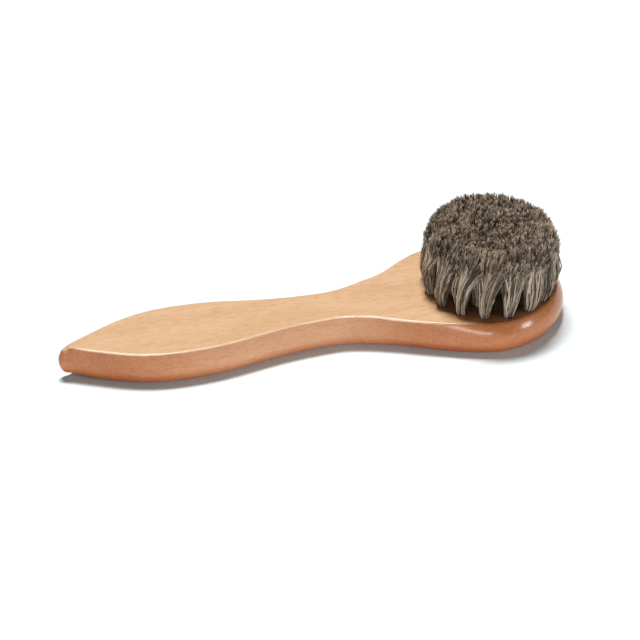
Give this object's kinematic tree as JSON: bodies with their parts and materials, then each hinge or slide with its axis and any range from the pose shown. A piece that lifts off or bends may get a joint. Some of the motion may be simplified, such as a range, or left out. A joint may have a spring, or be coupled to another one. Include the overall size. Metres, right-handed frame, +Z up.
{
  "type": "bee brush",
  "caption": "Hand brush with a flat paddle-shaped wooden handle and a round, low-crowned head of upright animal hair set in rings of tufts.",
  "frame": {"origin": "centre of the overall box, on the flat underside of the handle", "axes": "+X along the handle towards the round head, +Z up out of the head's face along the hair, +Y across"},
  "size_m": [0.18, 0.0552, 0.0373],
  "materials": {
    "wood": "satin clear varnish over pale close-grained hardwood",
    "hair": "mixed grey-brown animal hair, matt with a slight sheen",
    "steel": "bare cut flat wire"
  },
  "bodies": {
    "root": {"handle": "wood", "tuft_centre": "hair", "tuft_inner_01": "hair", "tuft_inner_02": "hair", "tuft_inner_03": "hair", "tuft_inner_04": "hair", "tuft_middle_01": "hair", "tuft_middle_02": "hair", "tuft_middle_03": "hair", "tuft_middle_04": "hair", "tuft_middle_05": "hair", "tuft_middle_06": "hair", "tuft_middle_07": "hair", "tuft_middle_08": "hair", "tuft_outer_01": "hair", "tuft_outer_02": "hair", "tuft_outer_03": "hair", "tuft_outer_04": "hair", "tuft_outer_05": "hair", "tuft_outer_06": "hair", "tuft_outer_07": "hair", "tuft_outer_08": "hair", "tuft_outer_09": "hair", "tuft_outer_10": "hair", "tuft_outer_11": "hair", "tuft_outer_12": "hair", "tuft_outer_13": "hair", "tuft_outer_14": "hair", "tuft_outer_15": "hair", "tuft_outer_16": "hair", "anchor_centre": "steel", "anchor_inner_01": "steel", "anchor_inner_02": "steel", "anchor_inner_03": "steel", "anchor_inner_04": "steel", "anchor_middle_01": "steel", "anchor_middle_02": "steel", "anchor_middle_03": "steel", "anchor_middle_04": "steel", "anchor_middle_05": "steel", "anchor_middle_06": "steel", "anchor_middle_07": "steel", "anchor_middle_08": "steel", "anchor_outer_01": "steel", "anchor_outer_02": "steel", "anchor_outer_03": "steel", "anchor_outer_04": "steel", "anchor_outer_05": "steel", "anchor_outer_06": "steel", "anchor_outer_07": "steel", "anchor_outer_08": "steel", "anchor_outer_09": "steel", "anchor_outer_10": "steel", "anchor_outer_11": "steel", "anchor_outer_12": "steel", "anchor_outer_13": "steel", "anchor_outer_14": "steel", "anchor_outer_15": "steel", "anchor_outer_16": "steel"}
  },
  "joints": []
}
